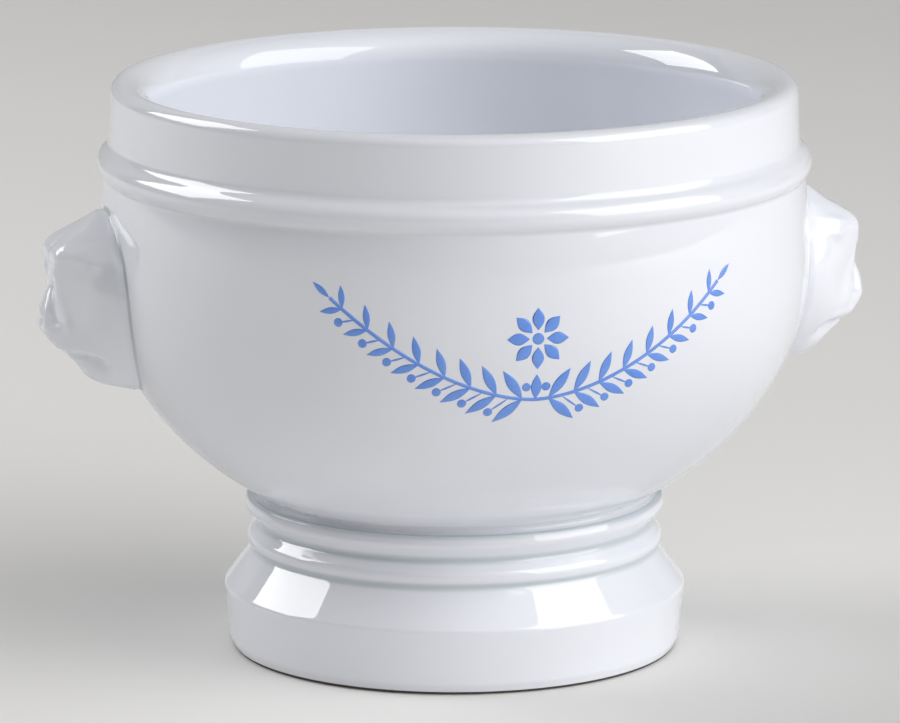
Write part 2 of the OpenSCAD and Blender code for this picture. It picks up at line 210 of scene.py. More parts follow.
class SoupBowl(bpy.types.PropertyGroup):
    """Everything that a user may change."""

    bowl: PointerProperty(type=BowlSizes)
    foot: PointerProperty(type=FootSizes)
    head: PointerProperty(type=HeadSizes)
    garland: PointerProperty(type=GarlandSizes)
    colours: PointerProperty(type=Colours)
    stage: PointerProperty(type=StageSizes)


def settings():
    """The sizes and colours of this scene."""
    return bpy.context.scene.soup_bowl


# Outlines of the turned pieces, as points of radius and height

ARC_STEPS = 14
BELLY_STEPS = 64
WELD = 0.002 * MM


class BowlForm:
    """Radii and heights that follow from the bowl's sizes."""

    def __init__(self, s):
        self.s = s
        self.belly_r = BEAD_R - s.bead_proud
        self.belly_z = SEAT_Z + s.belly_rise
        self.bead_z = self.belly_z + s.bead_rise
        self.belly_drop = s.belly_rise / math.sqrt(1 - (s.seat_r / self.belly_r) ** 2)
        shoulder = (self.belly_r - s.shoulder_in) / self.belly_r
        self.shoulder_rise = s.bead_rise / math.sqrt(1 - shoulder ** 2)
        self.collar_r = self.belly_r - s.collar_back
        self.inner_r = self.belly_r - s.wall
        self.inner_drop = self.belly_z - SEAT_Z - s.floor
        self.rim_inner_r = self.collar_r - s.collar_draft - s.rim
        self.rim_inner_round = s.rim - s.rim_round

    def wall_axis(self, z):
        """Vertical half axis of the ellipse that draws the outside at height z."""
        return self.belly_drop if z < self.belly_z else self.shoulder_rise

    def wall_r(self, z):
        """Outer radius of the belly and shoulder at height z."""
        return self.belly_r * math.sqrt(1 - ((z - self.belly_z) / self.wall_axis(z)) ** 2)

    def wall_point(self, y, z):
        """Place and outward normal of the outside at height z, y from the heads' middle."""
        x = math.sqrt(self.wall_r(z) ** 2 - y * y)
        normal = Vector((
            x / self.belly_r ** 2, y / self.belly_r ** 2,
            (z - self.belly_z) / self.wall_axis(z) ** 2,
        ))
        return Vector((x, y, z)), normal.normalized()

    def outline(self):
        """The whole outline, from the middle of the underside round to the middle inside."""
        s = self.s
        bead = np.array([self.belly_r + s.bead_proud - s.bead_round, self.bead_z])
        start = 0.0
        for _ in range(ARC_STEPS):
            wall = self.wall_r(self.bead_z + s.bead_round * math.sin(start))
            start = -math.acos((wall - bead[0]) / s.bead_round)
        bead_low = self.bead_z + s.bead_round * math.sin(start)
        crest = arc(bead, s.bead_round, start, s.bead_slope)
        top = crest[-1]
        collar_low = top[1] + (top[0] - self.collar_r) / math.tan(s.bead_slope)
        wall = [(self.wall_r(z), z) for z in spread(SEAT_Z, self.belly_z, BELLY_STEPS)]
        wall += [(self.wall_r(z), z) for z in spread(self.belly_z, bead_low, ARC_STEPS)[1:-1]]
        under = [(0, SEAT_Z + s.relief), (s.relief_r, SEAT_Z + s.relief),
                 (s.relief_r + s.relief, SEAT_Z)]
        collar = rounded([
            (*top, 0),
            (self.collar_r, collar_low, s.collar_fillet),
            (self.collar_r - s.collar_draft, RIM_Z - s.rim_round, 0),
        ])[1:-1]
        outer = (self.collar_r - s.collar_draft - s.rim_round, RIM_Z - s.rim_round)
        inner = (self.rim_inner_r + self.rim_inner_round, RIM_Z - self.rim_inner_round)
        rim = arc(outer, s.rim_round, 0, math.pi / 2)
        rim += arc(inner, self.rim_inner_round, math.pi / 2, math.pi)[1:]
        draw = self.inner_r - self.rim_inner_r
        upper = [
            (self.inner_r - draw * ((z - self.belly_z) / (inner[1] - self.belly_z)) ** 2, z)
            for z in spread(inner[1], self.belly_z, BELLY_STEPS // 2)[1:]
        ]
        lower = []
        for turn in spread(0, math.pi / 2, BELLY_STEPS)[1:]:
            depth = math.sin(turn)
            width = max(0.0, 1 - depth ** s.inside_fullness) ** (1 / s.inside_fullness)
            lower.append((self.inner_r * width, self.belly_z - self.inner_drop * depth))
        lower[-1] = (0, lower[-1][1])
        return split_long(under + wall + crest + collar + rim + upper + lower, s.longest_step)


class FootForm:
    """Radii and heights that follow from the foot's sizes."""

    FOOT_ROUND = 0.5 * MM
    EDGE_ROUND = 2.5 * MM
    BAND_ROUND = 1.3 * MM
    FLARE_FILLET = 0.7 * MM
    LOWER_ROUND = 1.8 * MM
    GROOVE_ROUND = 0.9 * MM
    UPPER_ROUND = 1.1 * MM
    LEDGE_ROUND = 0.5 * MM
    HOLLOW_ROUND = 2.5 * MM
    LONGEST_STEP = 0.7 * MM

    def __init__(self, s, seat_r):
        self.s = s
        self.flare_h = s.band_h + s.flare_rise
        self.lower_h = self.flare_h + s.lower_ring_rise
        self.groove_h = self.lower_h + s.groove_rise
        self.upper_h = self.groove_h + s.upper_ring_rise
        self.groove_r = seat_r + s.groove_out
        self.ledge_r = self.groove_r + s.upper_ring_out - s.ledge_back
        self.neck_r = self.groove_r - s.neck

    def outline(self):
        """The closed outline, round from the hollow's top."""
        s = self.s
        edge_r = BAND_R - s.band_draft
        hollow_r = BAND_R - s.band
        middle = ((self.ledge_r + self.neck_r) / 2, FOOT_H, 0)
        corners = [
            middle,
            (self.neck_r, FOOT_H, self.FOOT_ROUND),
            (self.neck_r, self.flare_h, self.HOLLOW_ROUND),
            (hollow_r, s.band_h, self.HOLLOW_ROUND),
            (hollow_r + s.hollow_draft, 0, self.FOOT_ROUND),
            (edge_r - s.edge_w, 0, self.FOOT_ROUND),
            (edge_r - s.edge_w * (1 - s.bare_h / s.edge_h), s.bare_h, 0),
            (edge_r, s.edge_h, self.EDGE_ROUND),
            (BAND_R, s.band_h, self.BAND_ROUND),
            (self.groove_r + s.flare_out, self.flare_h, self.FLARE_FILLET),
            (self.groove_r + s.lower_ring_out, self.lower_h, self.LOWER_ROUND),
            (self.groove_r, self.groove_h, self.GROOVE_ROUND),
            (self.groove_r + s.upper_ring_out, self.upper_h, self.UPPER_ROUND),
            (self.ledge_r, FOOT_H, self.LEDGE_ROUND),
            middle,
        ]
        return split_long(rounded(corners), self.LONGEST_STEP)


def spread(start, end, steps):
    """Evenly spread values, both ends among them."""
    return [start + (end - start) * i / steps for i in range(steps + 1)]


def arc(centre, r, start, end, steps=ARC_STEPS):
    """Points on an arc."""
    return [(centre[0] + r * math.cos(t), centre[1] + r * math.sin(t))
            for t in spread(start, end, steps)]


def rounded(corners):
    """An outline given as corners (radius, height, rounding), each replaced by its arc."""
    points = [corners[0][:2]]
    for before, here, after in zip(corners, corners[1:], corners[2:]):
        near = (np.array(c[:2], float) for c in (before, here, after))
        points += corner_arc(*near, here[2]) if here[2] else [here[:2]]
    return points + [corners[-1][:2]]


def corner_arc(before, here, after, r):
    """The arc of radius r that rounds a corner."""
    u = (before - here) / np.linalg.norm(before - here)
    v = (after - here) / np.linalg.norm(after - here)
    half = math.acos(float(u @ v)) / 2
    centre = here + (u + v) / np.linalg.norm(u + v) * r / math.sin(half)
    first = here + u * r / math.tan(half) - centre
    last = here + v * r / math.tan(half) - centre
    start = math.atan2(first[1], first[0])
    turn = (math.atan2(last[1], last[0]) - start + math.pi) % (2 * math.pi) - math.pi
    return arc(centre, r, start, start + turn)


def split_long(points, longest):
    """The same outline with its long steps divided."""
    out = [points[0]]
    for a, b in zip(points, points[1:]):
        gap = math.dist(a, b)
        if gap < WELD:
            continue
        parts = max(1, math.ceil(gap / longest))
        out += [(a[0] + (b[0] - a[0]) * i / parts, a[1] + (b[1] - a[1]) * i / parts)
                for i in range(1, parts + 1)]
    return out


# Node trees

def add(tree, kind, inputs=None, **values):
    """Adds a node with its settings. An input is a value, a socket, or a node's first output."""
    node = tree.nodes.new(kind)
    for name, value in values.items():
        setattr(node, name, value)
    for key, value in (inputs or {}).items():
        if isinstance(value, bpy.types.Node):
            value = value.outputs[0]
        if isinstance(value, bpy.types.NodeSocket):
            tree.links.new(value, node.inputs[key])
        else:
            node.inputs[key].default_value = value
    return node


def maths(tree, operation, *values, **options):
    """A node that reckons with values, sockets or nodes."""
    return add(tree, "ShaderNodeMath", dict(enumerate(values)), operation=operation, **options)


def ramp(tree, value, start, end, low=0.0, high=1.0, kind="LINEAR"):
    """Takes a value from one range to another and holds it at the ends."""
    return add(tree, "ShaderNodeMapRange", {
        "Value": value, "From Min": start, "From Max": end, "To Min": low, "To Max": high,
    }, interpolation_type=kind)


def named_field(tree, name, kind="FLOAT"):
    """What each place carries under a name."""
    return add(tree, "GeometryNodeInputNamedAttribute", {"Name": name}, data_type=kind)


def grid_places(tree, columns, rows):
    """A grid, and the column and row of each of its places."""
    grid = add(tree, "GeometryNodeMeshGrid", {"Vertices X": columns, "Vertices Y": rows})
    index = add(tree, "GeometryNodeInputIndex")
    column = maths(tree, "FLOOR", maths(tree, "DIVIDE", index, rows))
    return grid, column, maths(tree, "MODULO", index, rows)


def moved(tree, geometry, place):
    """Geometry with each of its points put on its place."""
    return add(tree, "GeometryNodeSetPosition", {"Geometry": geometry, "Position": place})


def new_tree(name, inputs):
    """An empty geometry tree with one geometry output, and its input node."""
    tree = bpy.data.node_groups.new(name, "GeometryNodeTree")
    for label, kind in inputs.items():
        tree.interface.new_socket(label, in_out="INPUT", socket_type="NodeSocket" + kind)
    tree.interface.new_socket("Piece", in_out="OUTPUT", socket_type="NodeSocketGeometry")
    return tree, add(tree, "NodeGroupInput").outputs


def finish_tree(tree, geometry, material):
    """Ends a tree: shades it smooth, makes instances real and sets the material."""
    smooth = add(tree, "GeometryNodeSetShadeSmooth", {"Geometry": geometry})
    real = add(tree, "GeometryNodeRealizeInstances", {"Geometry": smooth})
    painted = add(tree, "GeometryNodeSetMaterial", {"Geometry": real, "Material": material})
    add(tree, "NodeGroupOutput", {0: painted})
    return tree


def turning_tree():
    """Turns an outline round the axis, as a jigger or a turning mould does."""
    tree, given = new_tree("Turned form", {
        "Outline": "Geometry", "Steps round": "Int", "Weld": "Float", "Material": "Material",
    })
    count = add(tree, "GeometryNodeAttributeDomainSize", {"Geometry": given["Outline"]})
    columns = maths(tree, "ADD", given["Steps round"], 1.0)
    grid, column, row = grid_places(tree, columns, count.outputs["Point Count"])
    step = maths(tree, "DIVIDE", math.tau, given["Steps round"])
    point = add(tree, "GeometryNodeSampleIndex", {
        "Geometry": given["Outline"], "Index": row,
    }, data_type="FLOAT_VECTOR")
    tree.links.new(add(tree, "GeometryNodeInputPosition").outputs[0], point.inputs["Value"])
    place = add(tree, "ShaderNodeVectorRotate", {
        "Vector": point, "Angle": maths(tree, "MULTIPLY", column, step),
    }, rotation_type="Z_AXIS")
    closed = add(tree, "GeometryNodeMergeByDistance", {
        "Geometry": moved(tree, grid, place), "Distance": given["Weld"],
    })
    return finish_tree(tree, closed, given["Material"])


def placed_object(name, data):
    """A new object in the scene."""
    thing = bpy.data.objects.new(name, data)
    bpy.context.scene.collection.objects.link(thing)
    return thing


def converted(holder):
    """The plain mesh that an object's modifiers make; the object and its source go."""
    source = holder.data
    depsgraph = bpy.context.evaluated_depsgraph_get()
    mesh = bpy.data.meshes.new_from_object(holder.evaluated_get(depsgraph), depsgraph=depsgraph)
    bpy.data.objects.remove(holder)
    bpy.data.meshes.remove(source)
    return mesh


def run_tree(tree, source, inputs):
    """Evaluates a tree on a source mesh and gives the plain mesh that comes out."""
    holder = placed_object(tree.name, source)
    modifier = holder.modifiers.new(tree.name, "NODES")
    modifier.node_group = tree
    sockets = {s.name: s.identifier for s in tree.interface.items_tree if s.in_out == "INPUT"}
    for label, value in inputs.items():
        modifier[sockets[label]] = value
    mesh = converted(holder)
    if mesh.materials and not mesh.materials[0]:
        mesh.materials.pop(index=0)
    return mesh


def line_mesh(points, closed=False):
    """A mesh of vertices in a row, joined by edges."""
    mesh = bpy.data.meshes.new("outline")
    edges = [(i, i + 1) for i in range(len(points) - 1)]
    if closed:
        edges.append((len(points) - 1, 0))
    mesh.from_pydata([tuple(p) for p in points], edges, [])
    return mesh


def keep(name, mesh, slot, *nodes):
    """Makes a finished mesh a piece of the bowl that stands for the named nodes."""
    loose = bmesh.new()
    loose.from_mesh(mesh)
    bmesh.ops.remove_doubles(loose, verts=loose.verts, dist=WELD / 2)
    bmesh.ops.dissolve_degenerate(loose, edges=loose.edges, dist=WELD / 10)
    bmesh.ops.recalc_face_normals(loose, faces=loose.faces)
    loose.to_mesh(mesh)
    loose.free()
    mesh.name = name
    piece = placed_object(name, mesh)
    mesh.shade_smooth()
    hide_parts(*nodes)
    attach(piece, "root")
    return piece


def turned_piece(name, outline, material, slot, node):
    """A piece of revolution from its outline."""
    s = settings().bowl
    mesh = run_tree(turning_tree(), line_mesh([(r, 0, z) for r, z in outline]), {
        "Steps round": s.steps_round, "Weld": WELD, "Material": material,
    })
    return keep(name, mesh, slot, node)


# Materials

def new_material(name):
    """An empty material, its tree, and the place on the object that its textures go by."""
    material = bpy.data.materials.new(name)
    material.use_nodes = True
    tree = material.node_tree
    tree.nodes.clear()
    return material, tree, add(tree, "ShaderNodeTexCoord").outputs["Object"]


def noise(tree, place, grain, detail, roughness):
    """Noise whose grain has this real size in millimetres."""
    return add(tree, "ShaderNodeTexNoise", {
        "Vector": place, "Scale": 1 / (grain * MM), "Detail": detail, "Roughness": roughness,
    })


def bumps(tree, height, depth, strength=1.0, **under):
    """Raises a surface by a real depth."""
    return add(tree, "ShaderNodeBump", {
        "Height": height, "Distance": depth, "Strength": strength, **under,
    })


def blend(tree, share, first, second):
    """A colour between two, each a setting or a socket."""
    ends = [c if isinstance(c, bpy.types.NodeSocket) else [*c, 1] for c in (first, second)]
    mix = add(tree, "ShaderNodeMix", {0: share, 6: ends[0], 7: ends[1]}, data_type="RGBA")
    return mix.outputs[2]


def surfaced(material, body, rough, normal, **more):
    """Ends a material with its shader."""
    tree = material.node_tree
    shader = add(tree, "ShaderNodeBsdfPrincipled", {
        "Base Color": body, "Roughness": rough, "Normal": normal, **more,
    })
    add(tree, "ShaderNodeOutputMaterial", {"Surface": shader})
    return material


# Real sizes of what fires into a glaze
WAVE_MM = 14
WAVE_DEPTH = 0.03 * MM
SKIN_MM = 1.6
SKIN_DEPTH = 0.0006 * MM
CLOUD_MM = 45
SPECK_CELL_MM = 19
SPECK_MM = 0.16
SPECKLESS = 0.8
MOTTLE_MM = 3
GRIT_MM = 0.35
GRIT_DEPTH = 0.02 * MM
PRINT_CLOUD_MM = 6
SCREEN_MM = 0.45
GLAZE_IOR = 1.72

# Heights of the grooves in which glaze pools, and how far up and down it reaches
GROOVES_MM = (17.9, 22.3, 26.9)
POOL_MM = 1.1

# Heights over which the bare rim turns to painted contact shadow, which covers the bare band above
# them
CONTACT_SHADE_MM = (0.06, 0.14)

# The paper: its tooth, and the painted shade where it runs back from the light, leaning to one
# side
TOOTH_MM = 0.8
TOOTH_DEPTH = 0.03 * MM
SHADE_LEAN = 0.3
SHADE_FROM, SHADE_TO = -0.1, -0.75


def glaze_surface(tree, place, grain=1.0):
    """Bump and roughness of a fired glaze: a slow wave of its own and a fine pinched skin."""
    wave = noise(tree, place, WAVE_MM, 1.0, 0.4)
    skin = noise(tree, place, SKIN_MM, 2.0, 0.5)
    slow = bumps(tree, wave, WAVE_DEPTH * grain)
    fine = bumps(tree, skin, SKIN_DEPTH * grain, Normal=slow)
    return fine, ramp(tree, wave, 0.3, 0.7, 0.015, 0.03)


def height_of(tree, place):
    """Height of a place."""
    return add(tree, "ShaderNodeSeparateXYZ", {0: place}).outputs[2]


def porcelain(name):
    """Hard-paste porcelain, cast and dipped in clear glaze: cool white, deep gloss, faintly
    bluish where the glaze has pooled in the grooves, and here and there a fine iron speck."""
    material, tree, place = new_material(name)
    c = settings().colours
    bump, rough = glaze_surface(tree, place)
    thick = ramp(tree, noise(tree, place, CLOUD_MM, 2.0, 0.5), 0.35, 0.75, 0.0, 0.1)
    height = height_of(tree, place)
    for middle in GROOVES_MM:
        below, above = (ramp(tree, height, (middle + way * POOL_MM) * MM, middle * MM,
                             kind="SMOOTHSTEP") for way in (-1, 1))
        thick = maths(tree, "MAXIMUM", thick, maths(tree, "MULTIPLY", below, above))
    cells = add(tree, "ShaderNodeTexVoronoi", {
        "Vector": place, "Scale": 1 / (SPECK_CELL_MM * MM), "Randomness": 1.0,
    })
    size = SPECK_MM / SPECK_CELL_MM
    near = ramp(tree, cells.outputs["Distance"], size, 2 * size, 1.0, 0.0)
    chosen = add(tree, "ShaderNodeSeparateColor", {0: cells.outputs["Color"]})
    rare = maths(tree, "GREATER_THAN", chosen.outputs[0], SPECKLESS)
    body = blend(tree, maths(tree, "MULTIPLY", near, rare),
                 blend(tree, thick, c.glaze, c.pooled), c.speck)
    return surfaced(material, body, rough, bump, IOR=GLAZE_IOR)


def slip_glaze(name, low=0.0, high=0.0):
    """Casting slip under the same glaze: its greyer tint is partly the thick glaze and partly
    painted shade of the hollow seam. Its tint thins out between two heights, if they are given."""
    material, tree, place = new_material(name)
    c = settings().colours
    bump, rough = glaze_surface(tree, place, grain=2.0)
    # Painted shade: the slip's grey darkens the hollow seam, on top of the thick glaze
    body = blend(tree, noise(tree, place, MOTTLE_MM, 3.0, 0.6), c.slip, c.pooled)
    if high > low:
        thin = ramp(tree, height_of(tree, place), low, high, kind="SMOOTHSTEP")
        body = blend(tree, thin, body, c.glaze)
    return surfaced(material, body, rough, bump, IOR=GLAZE_IOR)


def bare_biscuit(name):
    """The resting rim, wiped free of glaze before the firing: matt, warm and finely gritty,
    with a dark line of painted contact shadow where the glaze begins."""
    material, tree, place = new_material(name)
    c = settings().colours
    grit = noise(tree, place, GRIT_MM, 4.0, 0.7)
    # Painted contact shadow: the bare band turns dark above these heights
    shade_share = ramp(tree, height_of(tree, place), *(h * MM for h in CONTACT_SHADE_MM))
    body = blend(tree, shade_share, blend(tree, grit, c.biscuit, c.glaze), c.contact_shade)
    return surfaced(material, body, 0.75, bumps(tree, grit, GRIT_DEPTH))


def fired_blue(name):
    """Blue overglaze colour from a screened transfer: it sinks into the glaze, keeps its
    gloss, and lies a little thin and uneven inside each stroke."""
    material, tree, place = new_material(name)
    c = settings().colours
    bump, rough = glaze_surface(tree, place)
    even = ramp(tree, noise(tree, place, PRINT_CLOUD_MM, 3.0, 0.55), 0.35, 0.7, 0.0, 0.55)
    grain = ramp(tree, noise(tree, place, SCREEN_MM, 1.0, 0.5), 0.5, 0.8, 0.0, 0.35)
    thin = maths(tree, "ADD", even, grain, use_clamp=True)
    return surfaced(material, blend(tree, thin, c.blue, c.blue_thin), rough, bump, IOR=GLAZE_IOR)


def table_paper(name):
    """Smooth pale background paper: matt, with a very fine tooth, and painted shade towards the
    back.
    """
    material, tree, place = new_material(name)
    c = settings().colours
    bump = bumps(tree, noise(tree, place, TOOTH_MM, 3.0, 0.6), TOOTH_DEPTH, 0.5)
    right, near = camera_frame(settings().stage)
    lit = add(tree, "ShaderNodeVectorMath", {0: place, 1: near + right * SHADE_LEAN},
              operation="DOT_PRODUCT")
    # Painted shade: darker as the paper runs back, leaning to one side
    back = ramp(tree, lit.outputs["Value"], SHADE_FROM, SHADE_TO)
    return surfaced(material, blend(tree, back, c.table, c.table_shaded), 0.9, bump)


# Lion heads

# Rows of a head from its chin up to its mane: height as a share of the head's height, then
# reach as a share of the nose's reach and half width as a share of half the head's width, for
# the middle line (reach only), the nose's flank, the ridge from brow to cheek and the cheek,
# and last the half width of the edge on the wall
HEAD_ROWS = [
    [0.000, -0.33, -0.33, 0.08, -0.34, 0.14, -0.35, 0.19, 0.22],
    [0.023, -0.01, -0.03, 0.13, -0.10, 0.22, -0.20, 0.29, 0.32],
    [0.052, 0.18, 0.17, 0.17, 0.09, 0.30, -0.06, 0.40, 0.44],
    [0.095, 0.32, 0.31, 0.21, 0.22, 0.36, 0.02, 0.50, 0.56],
    [0.163, 0.47, 0.46, 0.25, 0.36, 0.42, 0.10, 0.61, 0.70],
    [0.235, 0.69, 0.67, 0.28, 0.52, 0.45, 0.17, 0.70, 0.81],
    [0.306, 0.86, 0.83, 0.29, 0.63, 0.47, 0.22, 0.76, 0.89],
    [0.376, 0.99, 0.93, 0.29, 0.67, 0.46, 0.25, 0.80, 0.94],
    [0.448, 1.00, 0.92, 0.25, 0.67, 0.44, 0.27, 0.82, 0.98],
    [0.516, 0.93, 0.87, 0.22, 0.69, 0.42, 0.28, 0.83, 1.00],
    [0.598, 0.84, 0.81, 0.21, 0.73, 0.42, 0.30, 0.82, 1.00],
    [0.688, 0.82, 0.80, 0.23, 0.78, 0.44, 0.32, 0.78, 0.95],
    [0.768, 0.84, 0.84, 0.26, 0.81, 0.47, 0.33, 0.74, 0.88],
    [0.830, 0.77, 0.77, 0.26, 0.73, 0.46, 0.31, 0.66, 0.77],
    [0.879, 0.60, 0.59, 0.23, 0.54, 0.41, 0.27, 0.57, 0.67],
    [0.928, 0.38, 0.37, 0.17, 0.33, 0.32, 0.20, 0.43, 0.52],
    [1.000, 0.12, 0.12, 0.05, 0.11, 0.09, 0.10, 0.13, 0.16],
]

# What is modelled into a head: strokes through (across, up) in millimetres from the middle of
# the chin's edge, the same on both sides, with a stroke's width and how far it stands proud
HEAD_MARKS_MM = [
    ("eye socket", [(2.6, 20.0), (3.4, 19.6)], 1.0, -0.35),
    ("eyeball", [(3.0, 19.7)], 0.7, 0.3),
    ("corner of the brow", [(4.9, 23.4)], 1.2, -0.12),
    ("lock of the mane", [(8.6, 25.0), (9.8, 23.4)], 1.2, 0.8),
    ("furrow of the brow", [(0, 21.6), (0, 26.0)], 0.7, -0.25),
    ("ridge from brow to cheek", [(4.6, 21.5), (4.7, 18.0), (5.9, 14.0), (6.7, 10.6)], 1.0, 0.35),
    ("crease beside the nose", [(1.8, 18.2), (3.4, 15.6), (4.7, 12.6)], 0.8, -0.6),
    ("nostril", [(1.5, 11.6), (2.3, 12.4)], 0.5, -0.45),
    ("cleft lip", [(0, 11.2), (0, 8.2)], 0.45, -0.4),
    ("whisker pad", [(3.1, 10.0), (3.9, 9.0)], 1.7, 0.35),
    ("mouth", [(0, 7.9), (2.0, 7.1), (4.2, 7.2), (6.0, 6.4)], 0.55, -0.6),
    ("corner of the mouth", [(7.3, 6.0)], 1.4, -1.2),
    ("fold above the mouth", [(5.4, 8.6), (7.6, 8.2)], 0.9, 0.3),
    ("chin", [(0, 3.4), (1.4, 3.2)], 1.5, 0.2),
]
HEAD_STEPS = 4
SMOOTH_ROUNDS = 9
SINK = 3 * MM


def between(rows, steps):
    """A smooth curve through rows of numbers, with steps between each two."""
    rows = np.array(rows, float)
    out = []
    for i in range(len(rows) - 1):
        a, b, c, d = (rows[min(max(k, 0), len(rows) - 1)] for k in range(i - 1, i + 3))
        for t in spread(0, 1, steps)[:-1]:
            out.append((2 * b + (c - a) * t + (2 * a - 5 * b + 4 * c - d) * t * t
                        + (3 * b - a - 3 * c + d) * t ** 3) / 2)
    return out + [rows[-1]]


def head_core(form, s):
    """The plain cast form of a head: one level section for each row, skinned."""
    height = HEAD_HIGH.z - HEAD_LOW.z
    half = HEAD_HIGH.y
    sections = []
    for row in between(HEAD_ROWS, HEAD_STEPS):
        z = HEAD_LOW.z + row[0] * height
        width = row[8] * half
        wall = form.wall_r(z)
        edge_x = math.sqrt((wall + s.slip + s.edge) ** 2 - width ** 2)
        back_x = math.sqrt((wall - SINK / 2) ** 2 - width ** 2)
        side = [(edge_x, width)] + [
            (form.belly_r + row[k] * s.reach, row[k + 1] * half) for k in (6, 4, 2)
        ]
        face = side + [(form.belly_r + row[1] * s.reach, 0)] + [(x, -y) for x, y in side[::-1]]
        curve = [tuple(p) for p in between(face, HEAD_STEPS)]
        sections.append([(x, y, z) for x, y in [(back_x, width), *curve, (back_x, -width)]])
    n = len(sections[0])
    mesh = bmesh.new()
    rings = [[mesh.verts.new(p) for p in section] for section in sections]
    for low, high in zip(rings, rings[1:]):
        for k in range(n):
            mesh.faces.new((low[k], low[(k + 1) % n], high[(k + 1) % n], high[k]))
    mesh.faces.new(rings[0])
    mesh.faces.new(rings[-1])
    bmesh.ops.triangulate(mesh, faces=mesh.faces)
    bmesh.ops.recalc_face_normals(mesh, faces=mesh.faces)
    return mesh


def stroke_distance(points, across, up):
    """Distance of each place from a stroke drawn through points."""
    if len(points) == 1:
        return np.hypot(across - points[0][0], up - points[0][1])
    nearest = np.full(len(across), np.inf)
    for (ax, az), (bx, bz) in zip(points, points[1:]):
        dx, dz = bx - ax, bz - az
        t = np.clip(((across - ax) * dx + (up - az) * dz) / (dx * dx + dz * dz), 0, 1)
        nearest = np.minimum(nearest, np.hypot(across - ax - t * dx, up - az - t * dz))
    return nearest


def carved(mesh):
    """Models the lion's features into the soft cast form, along its normals."""
    n = len(mesh.vertices)
    place = np.zeros(3 * n)
    mesh.vertices.foreach_get("co", place)
    place = place.reshape(-1, 3)
    normal = np.zeros(3 * n, np.float32)
    mesh.vertex_normals.foreach_get("vector", normal)
    normal = normal.reshape(-1, 3)
    across = np.abs(place[:, 1]) / MM
    up = (place[:, 2] - HEAD_LOW.z) / MM
    facing = np.clip(normal[:, 0] * 2, 0, 1)
    height = np.zeros(n)
    for _, points, width, proud in HEAD_MARKS_MM:
        height += proud * np.exp(-(stroke_distance(points, across, up) / width) ** 2)
    place = place + normal * (height * facing * MM)[:, None]
    place[:, 0] = np.minimum(place[:, 0], HEAD_HIGH.x)
    mesh.vertices.foreach_set("co", place.ravel())
    mesh.update()


def cast_head(form, s, material):
    """One finished head on the +X side: cast softly, then modelled."""
    core = bpy.data.meshes.new("head_core")
    solid = head_core(form, s)
    solid.to_mesh(core)
    solid.free()
    holder = placed_object("head_core", core)
    remesh = holder.modifiers.new("Cast", "REMESH")
    remesh.mode = "VOXEL"
    remesh.voxel_size = s.voxel
    smooth = holder.modifiers.new("Softened", "SMOOTH")
    smooth.factor = 0.5
    smooth.iterations = SMOOTH_ROUNDS
    mesh = converted(holder)
    carved(mesh)
    mesh.materials.clear()
    mesh.materials.append(material)
    return mesh


HALF_TURN = Matrix.Rotation(math.pi, 4, "Z")


def both_sides(mesh, name, slot, node):
    """Keeps a mesh on the right and its half-turned copy on the left."""
    other = mesh.copy()
    other.transform(HALF_TURN)
    keep(name + "_right", mesh, slot, node + "_right")
    keep(name + "_left", other, slot, node + "_left")


def head_edge(form, out):
    """The edge of a head on the wall, as (across, up) points, rounded and set out a little."""
    half, height = HEAD_HIGH.y, HEAD_HIGH.z - HEAD_LOW.z
    side = [(row[8] * half, HEAD_LOW.z + row[0] * height) for row in between(HEAD_ROWS, 3)]
    loop = np.array(side + [(-y, z) for y, z in side[::-1]])
    for _ in range(3):
        ahead = np.roll(loop, -1, axis=0)
        loop = np.stack([0.75 * loop + 0.25 * ahead, 0.25 * loop + 0.75 * ahead], 1)
        loop = loop.reshape(-1, 2)
    lengths = np.linalg.norm(np.roll(loop, -1, axis=0) - loop, axis=1)
    along = np.concatenate([[0], np.cumsum(lengths)])
    closed = np.vstack([loop, loop[:1]])
    even = np.linspace(0, along[-1], EDGE_POINTS, endpoint=False)
    loop = np.stack([np.interp(even, along, closed[:, k]) for k in (0, 1)], 1)
    ahead = np.roll(loop, -1, axis=0) - np.roll(loop, 1, axis=0)
    ahead /= np.linalg.norm(ahead, axis=1)[:, None]
    return loop + np.stack([ahead[:, 1], -ahead[:, 0]], 1) * out


EDGE_POINTS = 220
FILLET_STEPS = 8


def slip_section(r):
    """Section of the slip as (off the wall, away from the head): a hollow quarter round."""
    hollow = [(r - r * math.cos(t), r - r * math.sin(t))
              for t in spread(0, math.pi / 2, FILLET_STEPS)]
    return [(-SINK / 3, r), *hollow, (r, -SINK / 3), (-SINK / 3, -SINK / 3)]


def seam_tree():
    """Draws a section along a path on the wall, standing square to the wall all the way."""
    tree, given = new_tree("Slip along an edge", {
        "Path": "Geometry", "Section": "Object", "Material": "Material",
    })
    curve = add(tree, "GeometryNodeMeshToCurve", {"Mesh": given["Path"]})
    facing = add(tree, "GeometryNodeSetCurveNormal", {
        "Curve": curve, "Normal": named_field(tree, "off_wall", "FLOAT_VECTOR"),
    }, mode="FREE")
    drawn = add(tree, "GeometryNodeObjectInfo", {"Object": given["Section"]})
    section = add(tree, "GeometryNodeMeshToCurve", {"Mesh": drawn.outputs["Geometry"]})
    strip = add(tree, "GeometryNodeCurveToMesh", {"Curve": facing, "Profile Curve": section})
    return finish_tree(tree, strip, given["Material"])


def head_slip(form, s, material):
    """The slip squeezed out round a head and wiped to a hollow rounding."""
    points, normals = zip(*(form.wall_point(y, z) for y, z in head_edge(form, EDGE_OUT)))
    path = line_mesh(points, closed=True)
    off_wall = path.attributes.new("off_wall", "FLOAT_VECTOR", "POINT")
    off_wall.data.foreach_set("vector", np.array(normals).ravel())
    corners = [(off, away, 0) for off, away in slip_section(s.slip_round)]
    section = placed_object("section", line_mesh(corners, closed=True))
    mesh = run_tree(seam_tree(), path, {"Section": section, "Material": material})
    spare = section.data
    bpy.data.objects.remove(section)
    bpy.data.meshes.remove(spare)
    return mesh


# Garland

